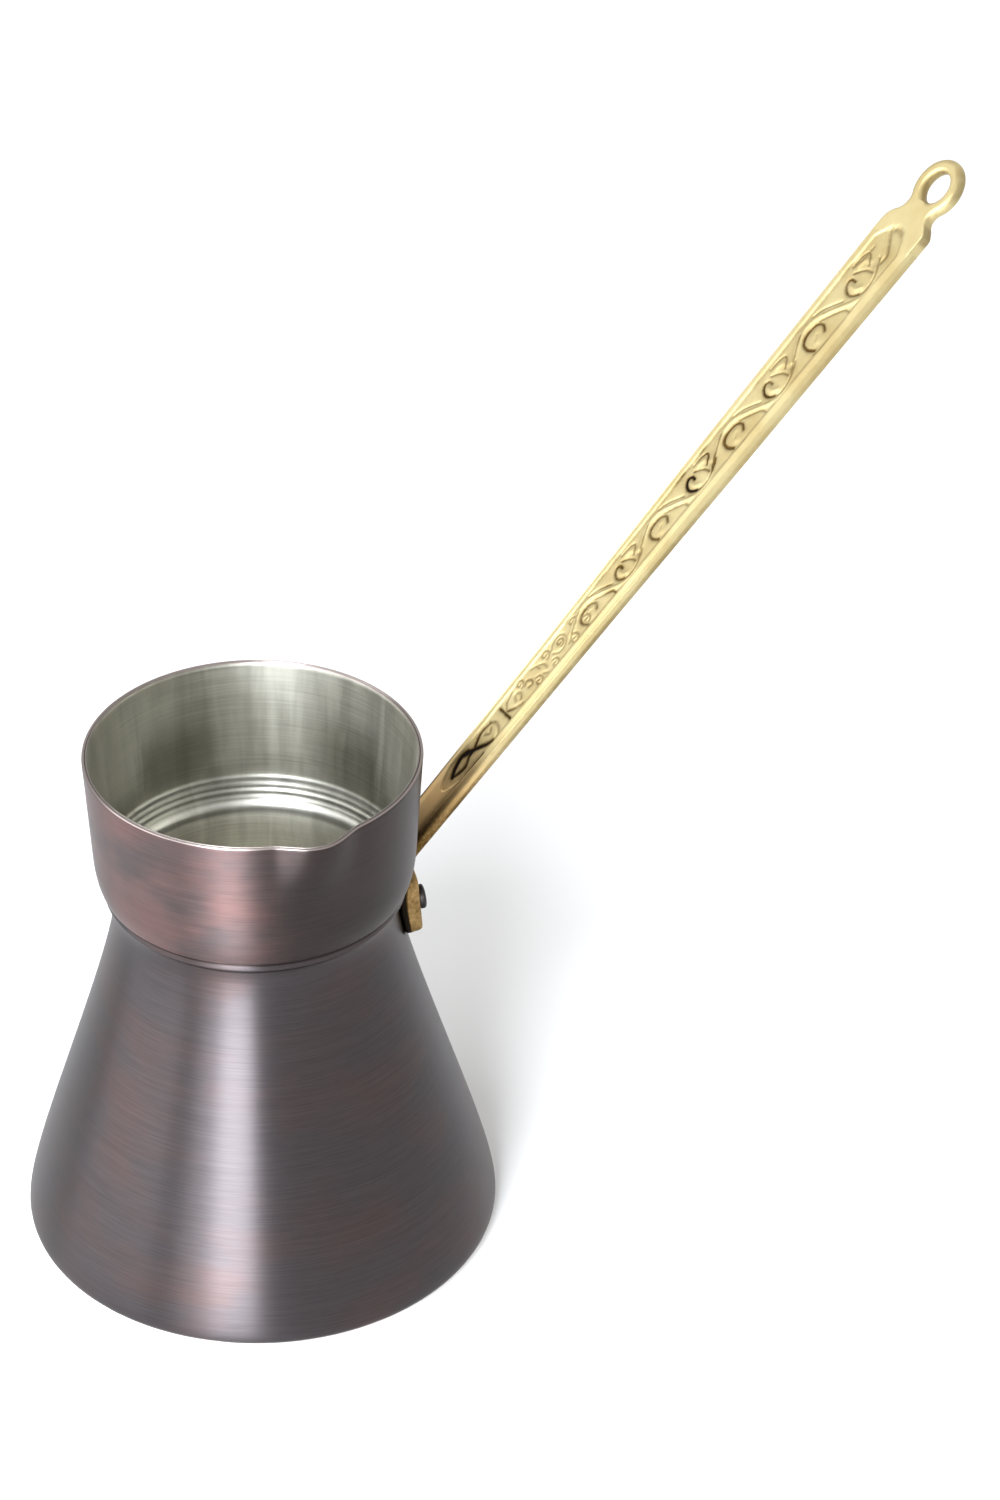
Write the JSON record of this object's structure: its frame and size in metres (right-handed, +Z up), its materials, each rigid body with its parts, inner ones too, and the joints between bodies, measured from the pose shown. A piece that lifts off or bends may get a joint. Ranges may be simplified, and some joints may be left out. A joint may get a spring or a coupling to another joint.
{
  "type": "copper cezve",
  "caption": "Spun copper coffee pot with a narrow neck, a pressed pouring lip, a tinned inside and a long cast brass handle riveted to its neck.",
  "frame": {"origin": "centre of the flat base, on the surface the pot stands on", "axes": "+Z up along the pot's axis, +X from the pot towards the handle's eye, the pouring lip near -Y"},
  "size_m": [0.1955, 0.0954, 0.2083],
  "materials": {
    "copper": "antiqued dark copper, finely brushed round the pot",
    "tin": "wiped tin, soft turned rings",
    "brass": "cast and rubbed bright on the high parts, brown in the hollows",
    "rivet": "darkened copper"
  },
  "bodies": {
    "root": {"pot_body": "copper", "tin_lining": "tin", "handle": "brass", "rivet_spout_side": "rivet", "rivet_far_side": "rivet"}
  },
  "joints": []
}
